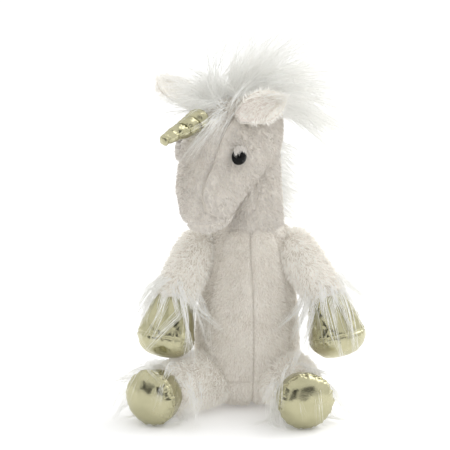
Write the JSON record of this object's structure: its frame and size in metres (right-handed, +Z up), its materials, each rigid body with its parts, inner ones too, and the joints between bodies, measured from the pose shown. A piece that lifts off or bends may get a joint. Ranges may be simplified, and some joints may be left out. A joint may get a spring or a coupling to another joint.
{
  "type": "plush unicorn",
  "caption": "Seated white plush unicorn with gold cloth hooves and horn, black domed eyes, a long wispy mane and long hair at the wrists and ankles.",
  "frame": {"origin": "on the floor under the middle of the body, on the flat of the seat panel", "axes": "+Z up; the chest faces -Y; +X is the right-hand side seen from the front"},
  "size_m": [0.1818, 0.1756, 0.2924],
  "materials": {
    "white_plush": "short pile plush",
    "gold_lame": "crinkled metallic cloth",
    "pink_lining": "short pile plush, faint pink",
    "long_white_hair": "long pile faux fur",
    "fibre_filling": "polyester fibre",
    "pellets": "pellets in a cloth bag",
    "black_eye": "polished",
    "washer_plastic": "moulded",
    "horn_thread": "twisted thread"
  },
  "bodies": {
    "torso": {"front_panel_left": "white_plush", "front_panel_right": "white_plush", "back_panel_left": "white_plush", "back_panel_right": "white_plush", "seat_panel": "white_plush", "pellet_bag": "pellets", "body_filling": "fibre_filling"},
    "neck": {"neck_cover_left": "white_plush", "neck_cover_right": "white_plush", "neck_filling": "fibre_filling", "neck_mane": "long_white_hair"},
    "head": {"head_side_left": "white_plush", "head_side_right": "white_plush", "head_gusset": "white_plush", "chin_panel": "white_plush", "head_filling": "fibre_filling", "eye_left": "black_eye", "eye_right": "black_eye", "eye_washer_left": "washer_plastic", "eye_washer_right": "washer_plastic", "forelock": "long_white_hair"},
    "horn": {"horn_cover": "gold_lame", "horn_filling": "fibre_filling", "horn_thread": "horn_thread"},
    "tail": {"tail_stub": "white_plush", "tail_hair": "long_white_hair"},
    "ear_left": {"ear_outer_left": "white_plush", "ear_lining_left": "pink_lining"},
    "arm_left": {"arm_cover_left": "white_plush", "arm_filling_left": "fibre_filling", "arm_feather_left": "long_white_hair", "arm_hoof_wall_left": "gold_lame", "arm_hoof_sole_left": "gold_lame", "arm_hoof_filling_left": "fibre_filling"},
    "leg_left": {"leg_cover_left": "white_plush", "leg_filling_left": "fibre_filling", "leg_feather_left": "long_white_hair", "leg_hoof_wall_left": "gold_lame", "leg_hoof_sole_left": "gold_lame", "leg_hoof_filling_left": "fibre_filling"},
    "ear_right": {"ear_outer_right": "white_plush", "ear_lining_right": "pink_lining"},
    "arm_right": {"arm_cover_right": "white_plush", "arm_filling_right": "fibre_filling", "arm_feather_right": "long_white_hair", "arm_hoof_wall_right": "gold_lame", "arm_hoof_sole_right": "gold_lame", "arm_hoof_filling_right": "fibre_filling"},
    "leg_right": {"leg_cover_right": "white_plush", "leg_filling_right": "fibre_filling", "leg_feather_right": "long_white_hair", "leg_hoof_wall_right": "gold_lame", "leg_hoof_sole_right": "gold_lame", "leg_hoof_filling_right": "fibre_filling"}
  },
  "joints": [
    {"name": "neck_turn", "type": "hinge", "parent": "torso", "child": "neck", "pos_m": [0.004, 0.003, 0.1405], "axis": [-0.016, 0.0096, 0.9998], "range_deg": [-20, 40], "stiffness_Nm_per_rad": 0.05},
    {"name": "head_nod", "type": "hinge", "parent": "neck", "child": "head", "pos_m": [0.003, 0.0036, 0.203], "axis": [-0.7431, 0.6691, 0], "range_deg": [0, 30], "stiffness_Nm_per_rad": 0.05},
    {"name": "horn_bend", "type": "hinge", "parent": "head", "child": "horn", "pos_m": [-0.03576, -0.0395, 0.2275], "axis": [-0.7431, 0.6691, 0], "range_deg": [0, 15], "stiffness_Nm_per_rad": 0.03},
    {"name": "ear_fold_left", "type": "hinge", "parent": "head", "child": "ear_left", "pos_m": [-0.0411, -0.00508, 0.233], "axis": [0.7662, 0.509, 0.3921], "range_deg": [0, 25], "stiffness_Nm_per_rad": 0.01},
    {"name": "ear_fold_right", "type": "hinge", "parent": "head", "child": "ear_right", "pos_m": [-0.0061, -0.04467, 0.231], "axis": [0.4237, -0.237, -0.8743], "range_deg": [0, 25], "stiffness_Nm_per_rad": 0.01},
    {"name": "arm_swing_left", "type": "hinge", "parent": "torso", "child": "arm_left", "pos_m": [-0.038, -0.002, 0.122], "axis": [-1, 0, 0], "range_deg": [0, 60], "stiffness_Nm_per_rad": 0.01},
    {"name": "arm_swing_right", "type": "hinge", "parent": "torso", "child": "arm_right", "pos_m": [0.036, -0.002, 0.122], "axis": [-1, 0, 0], "range_deg": [0, 60], "stiffness_Nm_per_rad": 0.01},
    {"name": "leg_swing_left", "type": "hinge", "parent": "torso", "child": "leg_left", "pos_m": [-0.031, -0.015, 0.0234], "axis": [0.7013, -0.7128, 0], "range_deg": [0, 70], "stiffness_Nm_per_rad": 0.03},
    {"name": "leg_swing_right", "type": "hinge", "parent": "torso", "child": "leg_right", "pos_m": [0.029, -0.015, 0.0234], "axis": [0.9686, 0.2487, 0], "range_deg": [0, 70], "stiffness_Nm_per_rad": 0.03},
    {"name": "tail_lift", "type": "hinge", "parent": "torso", "child": "tail", "pos_m": [0, 0.041, 0.03], "axis": [1, 0, 0], "range_deg": [0, 45], "stiffness_Nm_per_rad": 0.01}
  ]
}
